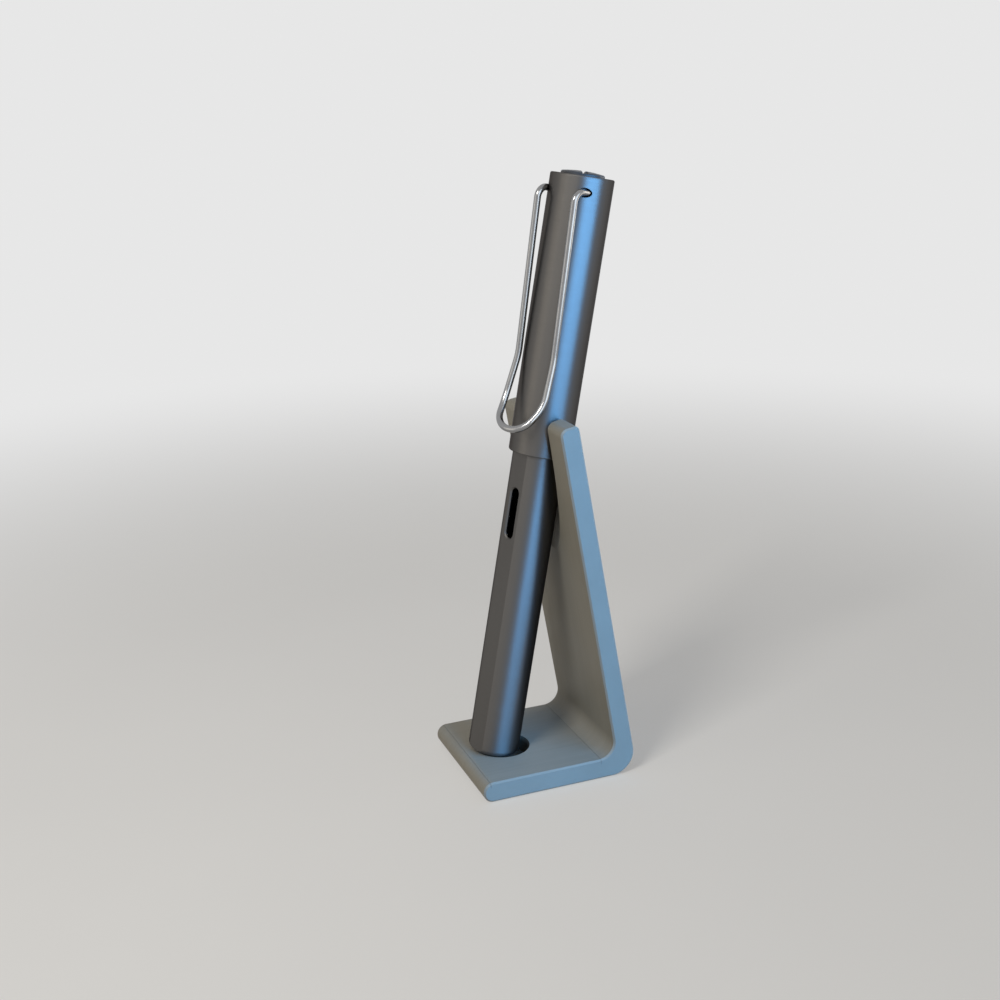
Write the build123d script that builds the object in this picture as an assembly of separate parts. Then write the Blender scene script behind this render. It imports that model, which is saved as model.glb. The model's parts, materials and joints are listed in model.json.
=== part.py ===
from build123d import *
from math import asin, atan2, cos, degrees, hypot, radians, sin, sqrt
import os

# Stand: one printed piece, a foot with an upright that leans forward over it
STAND_WIDTH = 34.0
STAND_DEPTH = 40.0
FOOT_THICKNESS = 5.0
UPRIGHT_THICKNESS = 4.7
UPRIGHT_LEAN = 9.6
NOSE_SHARE = 0.48
HEEL_RADIUS = 5.5
INNER_RADIUS = 4.0
TOP_FRONT_RADIUS = 1.8
TOP_REAR_RADIUS = 1.2
SIDE_CHAMFER = 0.4

# Pen seat: a round pocket in the foot, whose rim catches the pen's rounded end, and a round notch in the upright
POCKET_PLAY = 0.35
POCKET_SETBACK = 11.4
POCKET_DEPTH = 2.6
PEN_SINK = 0.65
PEN_FORWARD = 2.45
NOTCH_PLAY = 2.1
NOTCH_LEAN = 7.4
NOTCH_FORWARD = 2.7
NOTCH_DROP = 1.57
NOTCH_RISE = 11.5

# Barrel, with two long flats and an ink window in each
BARREL_LENGTH = 79.0
BARREL_RADIUS = 6.2
BARREL_WALL = 0.95
BARREL_ROUND = 1.4
END_WALL = 1.2
END_RIM = 1.8
FLAT_DEPTH = 0.5
FLAT_TURN = 17.0
WINDOW_LENGTH = 12.1
WINDOW_WIDTH = 2.6
WINDOW_DROP = 12.55
WINDOW_BEVEL = 0.3
PLUG_SPIGOT = 4.0

# Screw joint between the barrel and the grip section
THREAD_LENGTH = 9.7
THREAD_WALL = 0.7
INSERT_WALL = 0.54
INSERT_SPARE = 0.4

# Cap
CAP_LENGTH = 63.7
CAP_WALL = 0.8
CAP_TOP_WALL = 1.2
CAP_OVERLAP = 4.0
CAP_TOP_ROUND = 0.4
LIP_ROUND_SHARE = 0.38
LINER_WALL = 0.7
LINER_END = 1.5
LINER_STEP = 1.37
ANCHOR_HEIGHT = 4.8
ANCHOR_SPACE = 0.2

# Crown screw at the top of the cap
CROWN_RADIUS = 5.0
CROWN_RISE = 0.6
CROWN_DOME = 0.45
CROWN_SINK = 0.4
CROWN_EDGE = 0.25
CROWN_SHANK_RADIUS = 2.2
CROWN_SHANK_REACH = 3.6
CROWN_SLOT_WIDTH = 1.3
CROWN_SLOT_LENGTH = 10.6
CROWN_SLOT_DEPTH = 0.6
CROWN_SLOT_TURN = 45.0

# Clip: one bent wire, with its legs through two holes near the cap's top
WIRE_RADIUS = 0.78
CLIP_TURN = 26.4
CLIP_DROP = 3.6
CLIP_HALF_WIDTH = 5.28
CLIP_TOP_STANDOFF = 1.7
CLIP_WAIST_GAP = 0.35
CLIP_WAIST_DROP = 37.65
CLIP_HOOK = 2.0
CLIP_HOOK_DEPTH = 2.6
CLIP_PLAY = 0.28
CLIP_TOP_BEND = 2.4
CLIP_HOOK_BEND = 1.0
CLIP_WAIST_BEND = 16.0
LOOP_SHOULDER_DROP = 10.3
LOOP_SHOULDER_OUT = 1.7
LOOP_SPREAD = 0.54
LOOP_DROP = 5.98
LOOP_OUT = 4.2
LOOP_FLAT = 3.91
LOOP_BEND = 10.5
LOOP_ROUND_SHARE = 1.25

# Grip section, its snap ring, the feed and the nib
SHOULDER_GAP = 0.1
FLANGE_HEIGHT = 0.6
FLANGE_INSET = 0.25
RING_SECTION = 0.58
RING_SQUEEZE = 0.06
GRIP_LENGTH = 30.9
GRIP_GAP = 0.37
GRIP_TAPER = 0.7
GRIP_TIP_TAPER = 0.6
GRIP_TIP_LENGTH = 4.0
GRIP_FLAT_DEPTH = 0.9
GRIP_FLAT_ANGLE = 55.0
FEED_RADIUS = 2.85
FEED_SEAT = 15.0
FEED_SETBACK = 6.0
FEED_FIN_COUNT = 7
FEED_FIN_GAP = 0.4
FEED_SPINE = 1.1
NIB_SHEET = 0.25
NIB_SEAT = 7.0
NIB_SHOULDER = 3.0
NIB_TIP_RADIUS = 0.45
NIB_CLEARANCE = 1.8
NIB_SLIT = 0.15
NIB_VENT_RADIUS = 0.45
NIB_VENT_REACH = 8.0
CHANNEL_RADIUS = 0.6
NIPPLE_RADIUS = 1.5

# Converter: the ink reservoir with its screw-driven piston
TUBE_GAP = 0.2
TUBE_WALL = 0.8
TUBE_NECK = 4.7
TUBE_HEADROOM = 2.5
KNOB_LIP = 0.2
KNOB_LENGTH = 12.2
KNOB_GROOVES = 16
KNOB_GROOVE_RADIUS = 0.3
KNOB_BLIND = 6.0
KNOB_END_GAP = 0.9
HOUSING_SHOULDER = 5.0
HOUSING_SPIGOT = 5.8
COLLAR_WALL = 0.5
COLLAR_LENGTH = 9.0
SPINDLE_RADIUS = 0.9
PISTON_TRAVEL = 16.0
CARRIER_WALL = 0.6
CARRIER_ROOF = 1.4
SEAL_HEIGHT = 3.6
SEAL_FLANGE = 0.8

# Fits
FIT = 0.03
RUN_FIT = 0.08
FREE_GAP = 0.3

# Heights along the pen's axis, measured from the closed end of the barrel
MOUTH = BARREL_LENGTH
SHOULDER = MOUTH + SHOULDER_GAP
CAP_LIP = MOUTH - CAP_OVERLAP
CAP_TOP = CAP_LIP + CAP_LENGTH
CAP_CEILING = CAP_TOP - CAP_TOP_WALL
ANCHOR_TOP = CAP_CEILING - ANCHOR_SPACE
ANCHOR_FOOT = ANCHOR_TOP - ANCHOR_HEIGHT
LINER_TOP = ANCHOR_FOOT - ANCHOR_SPACE
GRIP_START = SHOULDER + FLANGE_HEIGHT + 2 * RING_SECTION + FIT
GRIP_END = SHOULDER + GRIP_LENGTH
NIB_TIP = LINER_TOP - LINER_END - NIB_CLEARANCE
THREAD_FOOT = SHOULDER - THREAD_LENGTH
CLIP_HEIGHT = CAP_TOP - CLIP_DROP

# Radii shared by neighbours, from the barrel outward and inward
BARREL_BORE = BARREL_RADIUS - BARREL_WALL
FLAT_REACH = BARREL_RADIUS - FLAT_DEPTH
END_OPENING = BARREL_RADIUS - END_RIM
CAP_BORE = BARREL_RADIUS + FREE_GAP
CAP_RADIUS = CAP_BORE + CAP_WALL
LINER_RADIUS = CAP_BORE - FIT
LINER_BORE = LINER_RADIUS - LINER_WALL
LINER_TIP_RADIUS = LINER_BORE - LINER_STEP
GRIP_RADIUS = LINER_BORE - GRIP_GAP
GRIP_NOSE_RADIUS = GRIP_RADIUS - GRIP_TAPER
GRIP_TIP_RADIUS = GRIP_NOSE_RADIUS - GRIP_TIP_TAPER
THREAD_RADIUS = BARREL_BORE - FIT - INSERT_WALL - RUN_FIT
THREAD_BORE = THREAD_RADIUS - THREAD_WALL
RING_NECK = CAP_BORE - RING_SQUEEZE - 2 * RING_SECTION - FIT
NIB_INNER = FEED_RADIUS + FIT
NIB_OUTER = NIB_INNER + NIB_SHEET
TUBE_RADIUS = THREAD_BORE - TUBE_GAP
TUBE_BORE = TUBE_RADIUS - TUBE_WALL
KNOB_RADIUS = TUBE_RADIUS + KNOB_LIP
CARRIER_BORE = SPINDLE_RADIUS + RUN_FIT
CARRIER_RADIUS = CARRIER_BORE + CARRIER_WALL
CLIP_BORE_RADIUS = WIRE_RADIUS + CLIP_PLAY

# Heights inside the barrel: the knob stands over the end plug, the tube hangs from the section
PLUG_TOP = END_WALL + PLUG_SPIGOT
KNOB_FOOT = PLUG_TOP + KNOB_END_GAP
KNOB_TOP = KNOB_FOOT + KNOB_LENGTH
HOUSING_FOOT = KNOB_TOP + FREE_GAP
TUBE_FOOT = HOUSING_FOOT + HOUSING_SHOULDER
HOUSING_TOP = TUBE_FOOT + HOUSING_SPIGOT
TUBE_TOP = SHOULDER - TUBE_HEADROOM
TUBE_CEILING = TUBE_TOP - TUBE_NECK
NIPPLE_ROOT = SHOULDER - FREE_GAP
NIPPLE_FOOT = TUBE_CEILING + FREE_GAP
PISTON_TOP = TUBE_CEILING - FREE_GAP - PISTON_TRAVEL
CARRIER_FOOT = HOUSING_TOP + FREE_GAP
SPINDLE_TOP = PISTON_TOP - CARRIER_ROOF - FREE_GAP

# The pen's axis meets the upright's front a little below the cap's lip, and that sets how far the pen leans
PEN_REACH = CAP_LIP - NOTCH_DROP
AXIS_RUN = PEN_REACH - PEN_SINK
FRONT_DISTANCE = (
    (STAND_DEPTH - POCKET_SETBACK) * cos(radians(UPRIGHT_LEAN))
    - FOOT_THICKNESS * sin(radians(UPRIGHT_LEAN))
    - UPRIGHT_THICKNESS
)
FORWARD_ANGLE = atan2(PEN_FORWARD, AXIS_RUN)
PEN_LEAN = degrees(asin(FRONT_DISTANCE / hypot(AXIS_RUN, PEN_FORWARD)) + FORWARD_ANGLE) - UPRIGHT_LEAN

# The pocket leans with the pen, whose end stands at the pocket's front and dips into it
POCKET_PLACE = Pos(0, POCKET_SETBACK - STAND_DEPTH / 2, FOOT_THICKNESS) * Rot(-PEN_LEAN, 0, 0)
PEN_PLACE = POCKET_PLACE * Pos(0, -PEN_FORWARD, -PEN_SINK)
BARREL_PLACE = PEN_PLACE * Rot(0, 0, FLAT_TURN)
CAP_PLACE = PEN_PLACE * Rot(0, 0, CLIP_TURN)

# The notch's axis passes in front of the pen's at the cap's lip
NOTCH_PLACE = PEN_PLACE * Pos(0, -NOTCH_FORWARD, CAP_LIP) * Rot(PEN_LEAN - NOTCH_LEAN, 0, 0)
STAND_HEIGHT = PEN_PLACE.position.Z + PEN_REACH * cos(radians(PEN_LEAN)) + NOTCH_RISE

# Selection tolerance, and a margin that carries a cut clear of what it cuts
TOUCH = 0.001
CLEAR = 1.0


def turned(*outline):
    """Solid of revolution about the pen's axis from (radius, height) points."""
    points = [(radius, 0, height) for radius, height in outline]
    return revolve(make_face(Polyline(*points, close=True)), Axis.Z)


def rod(radius, low, high):
    """Round bar on the pen's axis between two heights."""
    return Pos(0, 0, low) * Cylinder(radius, high - low, align=(Align.CENTER, Align.CENTER, Align.MIN))


def block(width, depth, height):
    """Box that stands on the origin, centred in plan."""
    return Box(width, depth, height, align=(Align.CENTER, Align.CENTER, Align.MIN))


def rim(solid, radius, height):
    """Circular edges of one radius at one height."""
    circles = solid.edges().filter_by(GeomType.CIRCLE)
    level = circles.filter_by(lambda edge: abs(edge.arc_center.Z - height) < TOUCH)
    return level.filter_by(lambda edge: abs(edge.radius - radius) < TOUCH)


def make_stand_body():
    lean = radians(UPRIGHT_LEAN)
    upward = Vector(0, -sin(lean), cos(lean))
    forward = Vector(0, -cos(lean), -sin(lean))
    toe = Vector(0, -STAND_DEPTH / 2, 0)
    heel = Vector(0, STAND_DEPTH / 2, 0)
    back_top = heel + upward * (STAND_HEIGHT / cos(lean))
    front_top = back_top + forward * UPRIGHT_THICKNESS
    inner = front_top - upward * ((front_top.Z - FOOT_THICKNESS) / cos(lean))
    nose = toe + Vector(0, 0, FOOT_THICKNESS)
    nose_radius = NOSE_SHARE * FOOT_THICKNESS
    profile = FilletPolyline(
        toe, heel, back_top, front_top, inner, nose,
        radius=[nose_radius, HEEL_RADIUS, TOP_REAR_RADIUS, TOP_FRONT_RADIUS, INNER_RADIUS, nose_radius],
        close=True,
    )
    body = extrude(make_face(profile), STAND_WIDTH / 2, both=True)
    body = chamfer(body.faces().filter_by(Axis.X).edges(), SIDE_CHAMFER)
    pocket = POCKET_PLACE * rod(BARREL_RADIUS + POCKET_PLAY, -POCKET_DEPTH, BARREL_RADIUS)
    notch = NOTCH_PLACE * rod(CAP_RADIUS + NOTCH_PLAY, -CAP_LIP / 2, STAND_HEIGHT)
    return body - pocket - notch


def make_barrel_shell():
    shell = turned(
        (BARREL_BORE, END_WALL), (END_OPENING, END_WALL), (END_OPENING, 0),
        (BARREL_RADIUS, 0), (BARREL_RADIUS, MOUTH), (BARREL_BORE, MOUTH),
    )
    shell = fillet(rim(shell, BARREL_RADIUS, 0), BARREL_ROUND)
    flat = Pos(0, -FLAT_REACH - CLEAR, 0) * block(2 * BARREL_RADIUS, 2 * CLEAR, MOUTH)
    slot = Rot(90, 0, 0) * extrude(SlotOverall(WINDOW_LENGTH, WINDOW_WIDTH, rotation=90), BARREL_RADIUS)
    slot = Pos(0, 0, MOUTH - WINDOW_DROP - WINDOW_LENGTH / 2) * slot
    for turn in (0, 180):
        shell -= Rot(0, 0, turn) * flat
    for turn in (0, 180):
        shell -= Rot(0, 0, turn) * slot
    outlines = [
        face.inner_wires()[0].edges()
        for face in shell.faces().filter_by(Axis.Y)
        if face.inner_wires()
    ]
    for edges in outlines:
        shell = chamfer(edges, WINDOW_BEVEL)
    return shell


def make_barrel_end_plug():
    return turned(
        (0, 0), (END_OPENING - FIT, 0), (END_OPENING - FIT, END_WALL + FIT),
        (BARREL_BORE - FIT, END_WALL + FIT), (BARREL_BORE - FIT, PLUG_TOP), (0, PLUG_TOP),
    )


def make_barrel_thread_insert():
    sleeve = rod(BARREL_BORE - FIT, THREAD_FOOT - INSERT_SPARE, MOUTH)
    return sleeve - rod(THREAD_RADIUS + RUN_FIT, THREAD_FOOT - INSERT_SPARE - CLEAR, MOUTH + CLEAR)


def make_grip_section():
    flange = CAP_BORE - RING_SQUEEZE - FLANGE_INSET
    body = turned(
        (CHANNEL_RADIUS, NIPPLE_FOOT), (NIPPLE_RADIUS, NIPPLE_FOOT),
        (NIPPLE_RADIUS, NIPPLE_ROOT), (THREAD_BORE, NIPPLE_ROOT), (THREAD_BORE, THREAD_FOOT),
        (THREAD_RADIUS, THREAD_FOOT), (THREAD_RADIUS, SHOULDER), (flange, SHOULDER),
        (flange, SHOULDER + FLANGE_HEIGHT), (RING_NECK, SHOULDER + FLANGE_HEIGHT),
        (RING_NECK, GRIP_START), (GRIP_RADIUS, GRIP_START),
        (GRIP_NOSE_RADIUS, GRIP_END - GRIP_TIP_LENGTH), (GRIP_TIP_RADIUS, GRIP_END),
        (NIB_OUTER + FIT, GRIP_END), (NIB_OUTER + FIT, GRIP_END - FEED_SEAT),
        (CHANNEL_RADIUS, GRIP_END - FEED_SEAT),
    )
    flat_start = GRIP_START + 2 * RING_SECTION
    flat_height = GRIP_END - GRIP_TIP_LENGTH - flat_start
    facet = Pos(0, -GRIP_RADIUS, flat_start) * block(2 * GRIP_RADIUS, 2 * GRIP_FLAT_DEPTH, flat_height)
    for turn in (GRIP_FLAT_ANGLE, -GRIP_FLAT_ANGLE):
        body -= Rot(0, 0, turn) * facet
    return body


def make_section_ring():
    ring_radius = RING_NECK + FIT + RING_SECTION
    ring_height = SHOULDER + FLANGE_HEIGHT + FIT / 2 + RING_SECTION
    return Pos(0, 0, ring_height) * Torus(ring_radius, RING_SECTION)


def nib_radius(height, base_radius):
    """Radius of the nib's cone at a height, straight from its shoulder to its tip."""
    shoulder = GRIP_END + NIB_SHOULDER
    share = max(0.0, (height - shoulder) / (NIB_TIP - shoulder))
    return base_radius + (NIB_TIP_RADIUS - base_radius) * share


def make_feed():
    tip = NIB_TIP - FEED_SETBACK
    shoulder = GRIP_END + NIB_SHOULDER
    tip_radius = nib_radius(tip, NIB_INNER) - NIB_SHEET - FIT
    body = turned(
        (0, GRIP_END - FEED_SEAT + FIT), (FEED_RADIUS, GRIP_END - FEED_SEAT + FIT),
        (FEED_RADIUS, shoulder), (tip_radius, tip), (0, tip),
    )
    pitch = (tip - shoulder) / (FEED_FIN_COUNT + 1)
    gap = Pos(0, FEED_SPINE + FEED_RADIUS, 0) * block(4 * FEED_RADIUS, 2 * FEED_RADIUS, FEED_FIN_GAP)
    for fin in range(FEED_FIN_COUNT):
        body -= Pos(0, 0, shoulder + fin * pitch) * gap
    return body


def make_nib():
    seat = GRIP_END - NIB_SEAT
    shoulder = GRIP_END + NIB_SHOULDER
    sheet = turned(
        (NIB_INNER, seat), (NIB_OUTER, seat), (NIB_OUTER, shoulder),
        (NIB_TIP_RADIUS, NIB_TIP), (NIB_TIP_RADIUS - NIB_SHEET, NIB_TIP), (NIB_INNER, shoulder),
    )
    upper_half = Pos(0, -NIB_OUTER, seat) * block(4 * NIB_OUTER, 2 * NIB_OUTER, NIB_TIP - seat)
    slit_foot = NIB_TIP - NIB_VENT_REACH
    slit = Pos(0, -NIB_OUTER, slit_foot) * block(NIB_SLIT, 2 * NIB_OUTER, NIB_VENT_REACH + CLEAR)
    vent = Pos(0, 0, slit_foot) * Rot(90, 0, 0) * rod(NIB_VENT_RADIUS, 0, 2 * NIB_OUTER)
    return (sheet & upper_half) - slit - vent


def make_cap_shell():
    shell = turned(
        (CAP_BORE, CAP_LIP), (CAP_RADIUS, CAP_LIP), (CAP_RADIUS, CAP_TOP),
        (CROWN_RADIUS + FIT, CAP_TOP), (CROWN_RADIUS + FIT, CAP_TOP - CROWN_SINK),
        (CROWN_SHANK_RADIUS + FIT, CAP_TOP - CROWN_SINK), (CROWN_SHANK_RADIUS + FIT, CAP_CEILING),
        (CAP_BORE, CAP_CEILING),
    )
    shell = fillet(rim(shell, CAP_RADIUS, CAP_TOP), CAP_TOP_ROUND)
    shell = fillet(rim(shell, CAP_RADIUS, CAP_LIP), LIP_ROUND_SHARE * CAP_WALL)
    hole = Rot(90, 0, 0) * rod(CLIP_BORE_RADIUS, 0, 2 * CAP_RADIUS)
    for side in (-1, 1):
        shell -= Pos(side * CLIP_HALF_WIDTH, 0, CLIP_HEIGHT) * hole
    return shell


def make_cap_liner():
    tip_outer = LINER_TIP_RADIUS + LINER_WALL
    step = GRIP_END + CLEAR
    step_top = step + LINER_STEP
    end = LINER_TOP - LINER_END
    return turned(
        (LINER_BORE, GRIP_START), (LINER_RADIUS, GRIP_START), (LINER_RADIUS, step), (tip_outer, step_top),
        (tip_outer, end), (LINER_RADIUS, end), (LINER_RADIUS, LINER_TOP), (0, LINER_TOP), (0, end),
        (LINER_TIP_RADIUS, end), (LINER_TIP_RADIUS, step_top), (LINER_BORE, step),
    )


def make_clip_anchor():
    body = rod(CAP_BORE - FIT, ANCHOR_FOOT, ANCHOR_TOP)
    body -= rod(CROWN_SHANK_RADIUS + FIT, ANCHOR_FOOT - CLEAR, ANCHOR_TOP + CLEAR)
    floor = CLIP_HEIGHT - WIRE_RADIUS - CLIP_PLAY
    inner_side = CLIP_HALF_WIDTH - CLIP_HOOK - CLIP_PLAY
    back = CLIP_HOOK_DEPTH - WIRE_RADIUS - CLIP_PLAY
    corner = Box(CAP_RADIUS, CAP_RADIUS, CAP_RADIUS, align=(Align.MIN, Align.MAX, Align.MIN))
    seat = Pos(inner_side, -back, floor) * corner
    return body - seat - mirror(seat, Plane.YZ)


def make_cap_crown():
    crest = CAP_TOP + CROWN_RISE + CROWN_DOME
    dome_radius = (CROWN_RADIUS ** 2 + CROWN_DOME ** 2) / (2 * CROWN_DOME)
    head = rod(CROWN_RADIUS, CAP_TOP - CROWN_SINK + FIT, crest)
    head &= Pos(0, 0, crest - dome_radius) * Sphere(dome_radius)
    head = chamfer(rim(head, CROWN_RADIUS, CAP_TOP + CROWN_RISE), CROWN_EDGE)
    shank_foot = CAP_CEILING - CROWN_SHANK_REACH
    crown = head + rod(CROWN_SHANK_RADIUS, shank_foot, CAP_TOP)
    groove = block(CROWN_SLOT_LENGTH, CROWN_SLOT_WIDTH, CROWN_SLOT_DEPTH + CLEAR)
    groove = Pos(0, 0, crest - CROWN_SLOT_DEPTH) * Rot(0, 0, CROWN_SLOT_TURN) * groove
    return crown - groove - Rot(0, 0, 90) * groove


def standoff(gap):
    """How far in front of the axis a leg lies when its wire is this far from the cap."""
    reach = CAP_RADIUS + gap + WIRE_RADIUS
    return sqrt(reach ** 2 - CLIP_HALF_WIDTH ** 2)


def make_cap_clip():
    waist = standoff(CLIP_WAIST_GAP)
    waist_height = CLIP_HEIGHT - CLIP_WAIST_DROP
    shoulder_height = waist_height - LOOP_SHOULDER_DROP
    shoulder_out = waist + LOOP_SHOULDER_OUT
    leg = [
        (CLIP_HALF_WIDTH - CLIP_HOOK, -CLIP_HOOK_DEPTH, CLIP_HEIGHT),
        (CLIP_HALF_WIDTH, -CLIP_HOOK_DEPTH, CLIP_HEIGHT),
        (CLIP_HALF_WIDTH, -standoff(CLIP_TOP_STANDOFF), CLIP_HEIGHT),
        (CLIP_HALF_WIDTH, -waist, waist_height),
        (CLIP_HALF_WIDTH + LOOP_SPREAD, -shoulder_out, shoulder_height),
        (LOOP_FLAT, -shoulder_out - LOOP_OUT, shoulder_height - LOOP_DROP),
    ]
    bends = [CLIP_HOOK_BEND, CLIP_TOP_BEND, CLIP_WAIST_BEND, LOOP_BEND, LOOP_ROUND_SHARE * LOOP_FLAT]
    mirrored = [(-x, y, z) for x, y, z in reversed(leg)]
    path = FilletPolyline(*leg, *mirrored, radius=bends + bends[::-1])
    start = Plane(origin=path @ 0, z_dir=path % 0)
    return sweep(start * Circle(WIRE_RADIUS), path=path)


def make_converter_tube():
    return turned(
        (TUBE_BORE, TUBE_FOOT + FIT), (TUBE_RADIUS, TUBE_FOOT + FIT), (TUBE_RADIUS, TUBE_TOP),
        (NIPPLE_RADIUS + FIT, TUBE_TOP), (NIPPLE_RADIUS + FIT, TUBE_CEILING), (TUBE_BORE, TUBE_CEILING),
    )


def make_converter_housing():
    bore = SPINDLE_RADIUS + FREE_GAP
    return turned(
        (bore, HOUSING_FOOT), (TUBE_RADIUS, HOUSING_FOOT), (TUBE_RADIUS, TUBE_FOOT),
        (TUBE_BORE - FIT, TUBE_FOOT), (TUBE_BORE - FIT, HOUSING_TOP), (bore, HOUSING_TOP),
    )


def make_converter_collar():
    low = TUBE_FOOT - COLLAR_LENGTH / 2
    high = TUBE_FOOT + COLLAR_LENGTH / 2
    bore = TUBE_RADIUS + FIT
    return rod(bore + COLLAR_WALL, low, high) - rod(bore, low - CLEAR, high + CLEAR)


def make_converter_knob():
    knob = rod(KNOB_RADIUS, KNOB_FOOT, KNOB_TOP)
    knob -= rod(SPINDLE_RADIUS + FIT, KNOB_TOP - KNOB_BLIND, KNOB_TOP + CLEAR)
    groove = Pos(KNOB_RADIUS, 0, 0) * rod(KNOB_GROOVE_RADIUS, KNOB_FOOT - CLEAR, KNOB_TOP + CLEAR)
    for index in range(KNOB_GROOVES):
        knob -= Rot(0, 0, 360 * index / KNOB_GROOVES) * groove
    return knob


def make_converter_spindle():
    return rod(SPINDLE_RADIUS, KNOB_TOP - KNOB_BLIND + FIT, SPINDLE_TOP)


def make_piston_carrier():
    flange = TUBE_BORE - FREE_GAP
    seal_foot = PISTON_TOP - SEAL_HEIGHT
    return turned(
        (CARRIER_BORE, CARRIER_FOOT), (CARRIER_RADIUS, CARRIER_FOOT),
        (CARRIER_RADIUS, seal_foot - SEAL_FLANGE), (flange, seal_foot - SEAL_FLANGE), (flange, seal_foot),
        (CARRIER_RADIUS, seal_foot), (CARRIER_RADIUS, PISTON_TOP), (0, PISTON_TOP),
        (0, PISTON_TOP - CARRIER_ROOF), (CARRIER_BORE, PISTON_TOP - CARRIER_ROOF),
    )


def make_piston_seal():
    ring = rod(TUBE_BORE - RUN_FIT, PISTON_TOP - SEAL_HEIGHT + FIT, PISTON_TOP)
    return ring - rod(CARRIER_RADIUS + FIT, PISTON_TOP - SEAL_HEIGHT - CLEAR, PISTON_TOP + CLEAR)


def make_parts():
    """Every piece by its node's name, in place on the stand."""
    return {
        "stand_body": make_stand_body(),
        "barrel_shell": BARREL_PLACE * make_barrel_shell(),
        "barrel_end_plug": BARREL_PLACE * make_barrel_end_plug(),
        "barrel_thread_insert": BARREL_PLACE * make_barrel_thread_insert(),
        "grip_section": BARREL_PLACE * make_grip_section(),
        "section_ring": BARREL_PLACE * make_section_ring(),
        "feed": BARREL_PLACE * make_feed(),
        "nib": BARREL_PLACE * make_nib(),
        "cap_shell": CAP_PLACE * make_cap_shell(),
        "cap_liner": CAP_PLACE * make_cap_liner(),
        "clip_anchor": CAP_PLACE * make_clip_anchor(),
        "cap_crown": CAP_PLACE * make_cap_crown(),
        "cap_clip": CAP_PLACE * make_cap_clip(),
        "converter_tube": BARREL_PLACE * make_converter_tube(),
        "converter_housing": BARREL_PLACE * make_converter_housing(),
        "converter_collar": BARREL_PLACE * make_converter_collar(),
        "converter_knob": BARREL_PLACE * make_converter_knob(),
        "converter_spindle": BARREL_PLACE * make_converter_spindle(),
        "piston_carrier": BARREL_PLACE * make_piston_carrier(),
        "piston_seal": BARREL_PLACE * make_piston_seal(),
    }


os.makedirs("parts", exist_ok=True)
for name, piece in make_parts().items():
    export_step(piece, f"parts/{name}.step")
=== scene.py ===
import json
from math import asin, cos, pi, radians, sin

import bpy
from mathutils import Matrix, Vector

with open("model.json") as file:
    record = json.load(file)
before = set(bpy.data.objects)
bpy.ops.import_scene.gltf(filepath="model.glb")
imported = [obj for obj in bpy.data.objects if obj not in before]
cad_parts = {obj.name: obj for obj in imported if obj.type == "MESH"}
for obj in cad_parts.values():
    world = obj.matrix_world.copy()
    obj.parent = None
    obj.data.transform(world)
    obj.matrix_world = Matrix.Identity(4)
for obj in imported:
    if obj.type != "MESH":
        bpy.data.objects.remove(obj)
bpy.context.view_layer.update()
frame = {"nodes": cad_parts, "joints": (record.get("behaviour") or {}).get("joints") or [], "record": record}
scene = bpy.context.scene
nodes = frame["nodes"]
joints = {joint["name"]: joint for joint in frame["joints"]}

# The pen's axis, and the knob's top end on it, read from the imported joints
PEN_AXIS = Vector(joints["pen_lift"]["axis"]).normalized()
PEN_POINT = Vector(joints["knob_turn"]["pos_m"])
PEN_LEAN = asin(PEN_AXIS.y)

# Camera fitted to the photograph's edges
CAMERA_PLACE = Vector((0.28420, -0.11741, 0.16250))
CAMERA_YAW = radians(68.89)
CAMERA_PITCH = radians(17.19)
CAMERA_ROLL = radians(-1.44)
CAMERA_LENS = 49.10
CAMERA_SENSOR = 36.0
CAMERA_NEAREST = 0.01

# Printed layers of the stand
LAYER_PITCH = 0.00020
FOOT_TOP = 0.005

# Fine creases across the foot where its roundings start, which show only near the foot's top, with painted
# shade darkening the colour along them
CREASE_PLACES = (-0.01830, 0.01020)
CREASE_WIDTH = 0.00011
CREASE_BOTTOM = FOOT_TOP - 0.0012
CREASE_TOP = FOOT_TOP + 0.0004
CREASE_PAINTED_SHADE = 0.62

# Painted shade darkening the inside of the stand's pocket, from just under the foot's top to above its
# underside
POCKET_MIDDLE = (0.0, -0.0089, 0.0035)
POCKET_REACH = 0.0080
POCKET_DARK = FOOT_TOP - 0.0015
POCKET_RIM = FOOT_TOP - 0.0002
POCKET_BOTTOM = 0.0005
POCKET_PAINTED_SHADE = 0.30

# Screw threads, as heights above the knob's top end, and how high a ridge is, as a share of its pitch
SECTION_THREAD = (0.0511, 0.0606)
SECTION_PITCH = 0.00075
SPINDLE_THREAD = (0.0004, 0.0600)
SPINDLE_PITCH = 0.0025
RIDGE_SHARE = 0.2

# Points of the clip's wire that are closer than this are one
WELD_REACH = 1e-6

# The floor's size, and its colour as it is seen and as it lights the object
FLOOR_RADIUS = 6.0
FLOOR_SIDES = 96
FLOOR_SEEN = (0.80, 0.79, 0.78, 1)
FLOOR_BOUNCE = (0.50, 0.42, 0.32, 1)

# The backdrop, its share in the floor near the object, and where the floor's fade starts and ends
BACKDROP = (0.80, 0.80, 0.80, 1)
FADE_START = 0.38
FADE_NEAR = 0.12
FADE_FAR = 0.50

# Even light from all round, and the height on the frame's axis at which the lamps are aimed
WORLD_COLOUR = (1.0, 0.97, 0.90, 1)
WORLD_STRENGTH = 0.15
LAMP_AIM = 0.07

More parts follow.
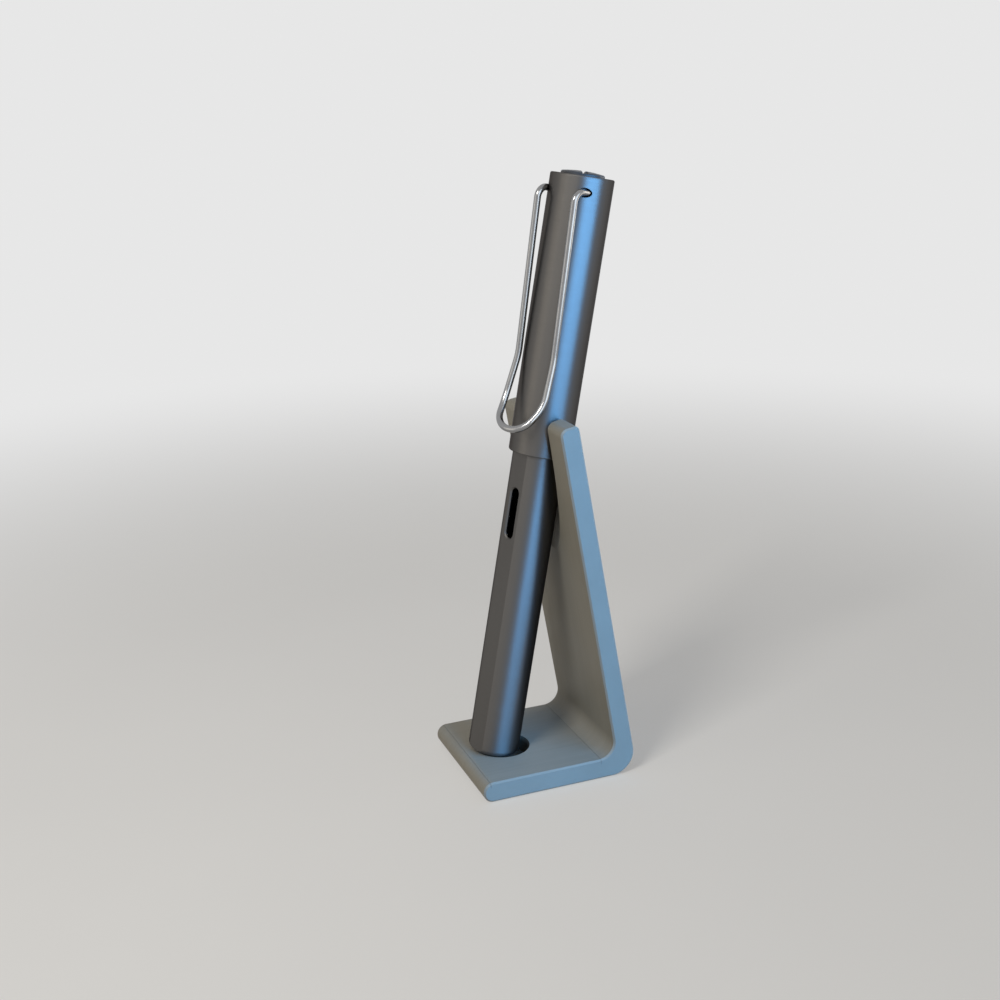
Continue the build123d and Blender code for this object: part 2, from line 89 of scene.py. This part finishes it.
# Each material's two tones, from dark to light
PRINT = (0.214, 0.202, 0.170), (0.234, 0.221, 0.186)
GRAPHITE = (0.118, 0.112, 0.106), (0.130, 0.124, 0.117)
WIRE = (0.27, 0.27, 0.28), (0.31, 0.31, 0.31)
CLEAR = (0.90, 0.93, 0.95), (0.96, 0.97, 0.98)
BLACK = (0.018, 0.018, 0.019), (0.030, 0.030, 0.031)
SMOKE = (0.020, 0.020, 0.022), (0.030, 0.030, 0.033)
RUBBER = (0.012, 0.012, 0.012), (0.022, 0.022, 0.022)
RED = (0.30, 0.016, 0.014), (0.36, 0.024, 0.020)
STEEL = (0.60, 0.60, 0.61), (0.70, 0.70, 0.70)
BRIGHT = (0.68, 0.68, 0.69), (0.76, 0.76, 0.76)


class Surface:
    """One procedural material: a shader and the nodes that feed it."""

    def __init__(self, name, **values):
        self.material = bpy.data.materials.new(name)
        self.material.use_nodes = True
        self.tree = self.material.node_tree
        self.shader = self.tree.nodes["Principled BSDF"]
        for socket, value in values.items():
            self.shader.inputs[socket.replace("_", " ")].default_value = value
        self.place = self.node("ShaderNodeTexCoord").outputs["Object"]

    def node(self, kind, inputs=None, **settings):
        """A new node, with its inputs linked or set and its settings made."""
        made = self.tree.nodes.new(kind)
        for key, value in settings.items():
            setattr(made, key, value)
        for key, value in (inputs or {}).items():
            if isinstance(value, bpy.types.NodeSocket):
                self.tree.links.new(value, made.inputs[key])
            else:
                made.inputs[key].default_value = value
        return made

    def feed(self, socket, output):
        self.tree.links.new(output, self.shader.inputs[socket])

    def math(self, operation, first, second=0.0):
        return self.node("ShaderNodeMath", {0: first, 1: second}, operation=operation).outputs[0]

    def vectors(self, operation, first, second=(0, 0, 0)):
        inputs = {0: first, 1: second}
        return self.node("ShaderNodeVectorMath", inputs, operation=operation).outputs

    def split(self, vector):
        return self.node("ShaderNodeSeparateXYZ", {"Vector": vector}).outputs

    def stretched(self, vector, scale):
        return self.node("ShaderNodeMapping", {"Vector": vector, "Scale": scale}).outputs[0]

    def along(self, scale=(1, 1, 1)):
        """Coordinates in the pen's own frame, with Z up its axis, stretched by scale."""
        turn = Matrix.Rotation(PEN_LEAN, 3, "X")
        upright = self.node(
            "ShaderNodeMapping",
            {"Vector": self.place, "Location": -(turn @ PEN_POINT), "Rotation": (PEN_LEAN, 0, 0)},
        ).outputs[0]
        return self.stretched(upright, scale)

    def round_axis(self):
        """The direction of turning round the pen's axis."""
        outward = self.vectors("SUBTRACT", self.place, PEN_POINT)["Vector"]
        return self.vectors("CROSS_PRODUCT", PEN_AXIS, outward)["Vector"]

    def noise(self, vector, scale, detail, roughness=0.55):
        return self.node(
            "ShaderNodeTexNoise",
            {"Vector": vector, "Scale": scale, "Detail": detail, "Roughness": roughness},
        ).outputs["Fac"]

    def ramp(self, factor, low, high, start=0.3, end=0.7):
        """A value that runs between two numbers or colours as factor goes from start to end."""
        blend = self.node("ShaderNodeValToRGB", {"Fac": factor})
        first, last = blend.color_ramp.elements
        first.position, last.position = start, end
        first.color = low if hasattr(low, "__len__") else (low, low, low, 1)
        last.color = high if hasattr(high, "__len__") else (high, high, high, 1)
        return blend.outputs["Color"]

    def tones(self, factor, dark, light):
        return self.ramp(factor, (*dark, 1), (*light, 1))

    def range(self, value, start, end, first, last):
        """A value that runs smoothly from first to last between two limits."""
        inputs = {"Value": value, "From Min": start, "From Max": end, "To Min": first, "To Max": last}
        return self.node("ShaderNodeMapRange", inputs, interpolation_type="SMOOTHSTEP").outputs[0]

    def between(self, value, start, end):
        """1 between two limits and 0 outside them."""
        above = self.math("GREATER_THAN", value, start)
        return self.math("MULTIPLY", above, self.math("LESS_THAN", value, end))

    def shaded(self, colour, shade):
        """A colour darkened by a grey."""
        mixed = self.node("ShaderNodeMix", data_type="RGBA", blend_type="MULTIPLY")
        mixed.inputs["Factor"].default_value = 1.0
        self.tree.links.new(colour, mixed.inputs["A"])
        self.tree.links.new(shade, mixed.inputs["B"])
        return mixed.outputs["Result"]

    def bump(self, height, distance, strength, after=None):
        inputs = {"Height": height, "Distance": distance, "Strength": strength}
        if after is not None:
            inputs["Normal"] = after
        return self.node("ShaderNodeBump", inputs).outputs["Normal"]

    def thread(self, pitch, start, end):
        """Ridges of a screw thread round the pen's axis between two heights."""
        x, y, z = self.split(self.along())
        angle = self.math("ARCTAN2", y, x)
        turns = self.math("MULTIPLY", z, 2 * pi / pitch)
        ridge = self.math("SINE", self.math("SUBTRACT", turns, angle))
        return self.math("MULTIPLY", ridge, self.between(z, start, end))


def printed_plastic():
    """Matte print with layers across the stand's width, streaks, two creases with painted shade along them,
    and painted shade inside the pocket.
    """
    look = Surface("printed_plastic", Specular_IOR_Level=0.4)
    x, y, z = look.split(look.place)
    layers = look.math("SINE", look.math("MULTIPLY", x, 2 * pi / LAYER_PITCH))
    cloud = look.noise(look.place, scale=90, detail=4)
    grain = look.noise(look.place, scale=2600, detail=2)
    streak = look.noise(look.stretched(look.place, scale=(1, 0.02, 0.02)), scale=1500, detail=2)

    lines = []
    for place in CREASE_PLACES:
        from_crease = look.math("ABSOLUTE", look.math("SUBTRACT", y, place))
        lines.append(look.range(from_crease, 0.0, CREASE_WIDTH, first=1.0, last=0.0))
    crease_and_painted_shade = look.math("MAXIMUM", *lines)
    crease_and_painted_shade = look.math("MULTIPLY", crease_and_painted_shade, look.between(z, CREASE_BOTTOM, CREASE_TOP))

    from_pocket = look.vectors("DISTANCE", look.place, POCKET_MIDDLE)["Value"]
    # Painted shade: the pocket's inside is darkened, fully below POCKET_DARK and fading out towards the rim
    pocket_painted_shade = look.range(z, POCKET_DARK, POCKET_RIM, first=1.0, last=0.0)
    pocket_painted_shade = look.math("MULTIPLY", pocket_painted_shade, look.math("LESS_THAN", from_pocket, POCKET_REACH))
    pocket_painted_shade = look.math("MULTIPLY", pocket_painted_shade, look.math("GREATER_THAN", z, POCKET_BOTTOM))

    tone = look.tones(cloud, *PRINT)
    tone = look.shaded(tone, look.ramp(streak, low=0.94, high=1.0))
    # Painted shade inside the pocket darkens the colour
    tone = look.shaded(tone, look.ramp(pocket_painted_shade, 1.0, POCKET_PAINTED_SHADE, start=0.0, end=1.0))
    # Painted shade along the creases darkens the colour; the same mask also dents the surface as a real
    # groove
    tone = look.shaded(tone, look.ramp(crease_and_painted_shade, 1.0, CREASE_PAINTED_SHADE, start=0.0, end=1.0))
    look.feed("Base Color", tone)
    look.feed("Roughness", look.ramp(cloud, low=0.50, high=0.60))
    normal = look.bump(layers, distance=0.000010, strength=0.3)
    normal = look.bump(grain, distance=0.00002, strength=0.2, after=normal)
    normal = look.bump(crease_and_painted_shade, distance=-0.00006, strength=1.0, after=normal)
    look.feed("Normal", normal)
    return look.material


def anodised_aluminium():
    """Graphite metal, finely blasted, with a sheen drawn out round the pen's axis."""
    look = Surface(
        "anodised_aluminium", Metallic=1.0, Specular_Tint=(0.40, 0.39, 0.39, 1),
        Anisotropic=0.70, Anisotropic_Rotation=0.25,
    )
    rings = look.noise(look.along(scale=(0.06, 0.06, 1)), scale=4200, detail=2)
    broad = look.noise(look.along(scale=(1, 1, 0.25)), scale=90, detail=2)
    blast = look.noise(look.place, scale=9000, detail=1)
    look.feed("Base Color", look.tones(broad, *GRAPHITE))
    look.feed("Roughness", look.ramp(rings, low=0.40, high=0.46))
    look.feed("Normal", look.bump(blast, distance=0.000002, strength=0.3))
    look.feed("Tangent", look.round_axis())
    return look.material


def clip_wire():
    """Bright drawn wire."""
    look = Surface("clip_wire", Metallic=1.0)
    drawn = look.noise(look.along(scale=(1, 1, 0.02)), scale=3000, detail=2)
    cloud = look.noise(look.place, scale=400, detail=2)
    look.feed("Base Color", look.tones(cloud, *WIRE))
    look.feed("Roughness", look.ramp(drawn, low=0.18, high=0.24))
    return look.material


def moulded(name, dark, light, smooth, rough, thread=None):
    """Moulded plastic or rubber with a cloudy colour, uneven gloss, fine skin and perhaps a thread."""
    look = Surface(name)
    cloud = look.noise(look.place, scale=225, detail=3)
    skin = look.noise(look.place, scale=3600, detail=2)
    look.feed("Base Color", look.tones(cloud, dark, light))
    look.feed("Roughness", look.ramp(cloud, smooth, rough))
    normal = look.bump(skin, distance=0.00002, strength=0.3)
    if thread:
        pitch, limits = thread
        ridges = look.thread(pitch, *limits)
        normal = look.bump(ridges, distance=pitch * RIDGE_SHARE, strength=1.0, after=normal)
    look.feed("Normal", normal)
    return look.material


def metal(name, dark, light, smooth, rough):
    """Bright metal with the fine rings of turning or polishing round the pen's axis."""
    look = Surface(name, Metallic=1.0)
    rings = look.noise(look.along(scale=(0.05, 0.05, 1)), scale=5000, detail=2)
    cloud = look.noise(look.place, scale=500, detail=2)
    look.feed("Base Color", look.tones(cloud, dark, light))
    look.feed("Roughness", look.ramp(rings, smooth, rough))
    return look.material


def clear_plastic():
    """Clear plastic of the ink reservoir."""
    look = Surface("clear_plastic", Transmission_Weight=1.0, IOR=1.49)
    cloud = look.noise(look.place, scale=300, detail=2)
    look.feed("Base Color", look.tones(cloud, *CLEAR))
    look.feed("Roughness", look.ramp(cloud, low=0.03, high=0.08))
    return look.material


def dress():
    """A material for every node, by its slot in the record; the spindle's has a thread."""
    section_thread = SECTION_PITCH, SECTION_THREAD
    spindle_thread = SPINDLE_PITCH, SPINDLE_THREAD
    slots = {
        "printed_plastic": printed_plastic(),
        "anodised_aluminium": anodised_aluminium(),
        "clip_wire": clip_wire(),
        "dark_plastic": moulded("dark_plastic", *BLACK, smooth=0.38, rough=0.52),
        "grip_plastic": moulded(
            "grip_plastic", *SMOKE, smooth=0.18, rough=0.28, thread=section_thread,
        ),
        "seal_rubber": moulded("seal_rubber", *RUBBER, smooth=0.6, rough=0.8),
        "nib_steel": metal("nib_steel", *STEEL, smooth=0.14, rough=0.24),
        "clear_plastic": clear_plastic(),
        "bright_metal": metal("bright_metal", *BRIGHT, smooth=0.10, rough=0.20),
        "knob_plastic": moulded("knob_plastic", *RED, smooth=0.25, rough=0.36),
    }
    own = {
        "converter_spindle": moulded(
            "spindle_plastic", *RED, smooth=0.25, rough=0.36, thread=spindle_thread,
        ),
    }
    for row in frame["record"]["subparts"]:
        materials = nodes[row["node"]].data.materials
        materials.clear()
        materials.append(own.get(row["node"], slots[row["material_slot"]]))


def smooth_wire():
    """Even normals along the clip's bends, for its mirror finish."""
    clip = nodes["cap_clip"]
    clip.modifiers.new("weld", "WELD").merge_threshold = WELD_REACH
    clip.modifiers.new("even", "WEIGHTED_NORMAL").keep_sharp = False


def make_camera():
    right = Vector((cos(CAMERA_YAW), sin(CAMERA_YAW), 0))
    level = Vector((-sin(CAMERA_YAW), cos(CAMERA_YAW), 0))
    ahead = level * cos(CAMERA_PITCH) - Vector((0, 0, sin(CAMERA_PITCH)))
    up = right.cross(ahead)
    turned_right = cos(CAMERA_ROLL) * right + sin(CAMERA_ROLL) * up
    turned_up = cos(CAMERA_ROLL) * up - sin(CAMERA_ROLL) * right
    data = bpy.data.cameras.new("camera")
    data.lens = CAMERA_LENS
    data.sensor_width = CAMERA_SENSOR
    data.clip_start = CAMERA_NEAREST
    camera = bpy.data.objects.new("camera", data)
    axes = Matrix((turned_right, turned_up, -ahead)).transposed().to_4x4()
    camera.matrix_world = Matrix.Translation(CAMERA_PLACE) @ axes
    scene.collection.objects.link(camera)
    scene.camera = camera


def seen_directly(tree):
    """1 for rays from the camera, off a glossy surface or through glass, and 0 for other light."""
    path = tree.nodes.new("ShaderNodeLightPath")
    total = path.outputs["Is Camera Ray"]
    for kind in ("Is Glossy Ray", "Is Transmission Ray"):
        larger = tree.nodes.new("ShaderNodeMath")
        larger.operation = "MAXIMUM"
        tree.links.new(total, larger.inputs[0])
        tree.links.new(path.outputs[kind], larger.inputs[1])
        total = larger.outputs[0]
    return total


def make_stage():
    """Plain pale floor that keeps the shadow near the object and fades into the backdrop."""
    look = Surface("floor", Roughness=0.75)
    direct = seen_directly(look.tree)
    cloud = look.noise(look.place, scale=6, detail=4)
    tone = look.ramp(direct, FLOOR_BOUNCE, FLOOR_SEEN, start=0.0, end=1.0)
    look.feed("Base Color", look.shaded(tone, look.ramp(cloud, low=0.94, high=1.0)))
    distance = look.vectors("LENGTH", look.place)["Value"]
    fade = look.range(distance, FADE_NEAR, FADE_FAR, first=FADE_START, last=1.0)
    share = look.math("MULTIPLY", fade, direct)
    backdrop = look.node("ShaderNodeEmission", {"Color": BACKDROP}).outputs[0]
    lit = look.shader.outputs[0]
    mix = look.node("ShaderNodeMixShader", {0: share, 1: lit, 2: backdrop}).outputs[0]
    look.tree.links.new(mix, look.tree.nodes["Material Output"].inputs["Surface"])
    bpy.ops.mesh.primitive_circle_add(vertices=FLOOR_SIDES, radius=FLOOR_RADIUS, fill_type="NGON")
    floor = bpy.context.object
    floor.name = "floor"
    floor.data.materials.append(look.material)
    return floor


def make_world():
    """Pale backdrop where it is seen, and a weak even light on the object."""
    world = bpy.data.worlds.new("studio")
    world.use_nodes = True
    tree = world.node_tree
    backdrop = tree.nodes["Background"]
    backdrop.inputs["Color"].default_value = BACKDROP
    light = tree.nodes.new("ShaderNodeBackground")
    light.inputs["Color"].default_value = WORLD_COLOUR
    light.inputs["Strength"].default_value = WORLD_STRENGTH
    mix = tree.nodes.new("ShaderNodeMixShader")
    tree.links.new(seen_directly(tree), mix.inputs[0])
    tree.links.new(light.outputs[0], mix.inputs[1])
    tree.links.new(backdrop.outputs[0], mix.inputs[2])
    tree.links.new(mix.outputs[0], tree.nodes["World Output"].inputs["Surface"])
    scene.world = world


def softbox(name, azimuth, distance, height, size, radiance, colour, lit=None):
    """Area lamp aimed at the object, for the objects lit alone, or for all where none are given.

    Radiance 1 is a white card in full light. Azimuth 0 is the object's front.
    """
    width, tall = size
    data = bpy.data.lights.new(name, "AREA")
    data.shape = "RECTANGLE"
    data.size, data.size_y = width, tall
    data.energy = radiance * pi * width * tall
    data.color = colour
    lamp = bpy.data.objects.new(name, data)
    turn = radians(azimuth)
    lamp.location = (distance * sin(turn), -distance * cos(turn), height)
    aim = Vector((0, 0, LAMP_AIM)) - lamp.location
    lamp.rotation_mode = "QUATERNION"
    lamp.rotation_quaternion = aim.to_track_quat("-Z", "Y")
    lamp.visible_camera = False
    if lit:
        group = bpy.data.collections.new(name)
        for receiver in lit:
            group.objects.link(receiver)
        lamp.light_linking.receiver_collection = group
    scene.collection.objects.link(lamp)


def make_lamps(floor):
    """Blue light from one side for the object alone, a warm key that casts the shadow, and fills.

    The pen's shells, the clip's wire and the other pieces each get their own share.
    """
    wire = [nodes["cap_clip"]]
    shells = [nodes["cap_shell"], nodes["barrel_shell"]]
    others = [piece for piece in nodes.values() if piece not in wire + shells]
    softbox(
        "window", azimuth=112, distance=0.45, height=0.20, size=(0.44, 0.44),
        radiance=9.8, colour=(0.14, 0.48, 1.0), lit=others,
    )
    softbox(
        "sky", azimuth=109, distance=0.45, height=0.20, size=(0.46, 0.44),
        radiance=12.0, colour=(0.12, 0.46, 1.0), lit=shells,
    )
    softbox(
        "glint", azimuth=112, distance=0.45, height=0.20, size=(0.44, 0.44),
        radiance=2.4, colour=(0.78, 0.90, 1.0), lit=wire,
    )
    softbox(
        "key", azimuth=32, distance=0.45, height=0.50, size=(0.18, 0.18),
        radiance=20.5, colour=(1.0, 0.97, 0.90), lit=others + wire + [floor],
    )
    softbox(
        "sheen", azimuth=32, distance=0.45, height=0.50, size=(0.50, 0.50),
        radiance=1.6, colour=(1.0, 0.97, 0.92), lit=shells,
    )
    softbox(
        "front", azimuth=-2, distance=0.50, height=0.16, size=(0.26, 0.40),
        radiance=0.80, colour=(1.0, 0.92, 0.78),
    )
    softbox(
        "fill", azimuth=183, distance=0.50, height=0.14, size=(0.30, 0.30),
        radiance=2.4, colour=(1.0, 0.92, 0.80), lit=others + wire,
    )


dress()
smooth_wire()
make_camera()
make_lamps(make_stage())
make_world()

scene.view_settings.view_transform = "Standard"
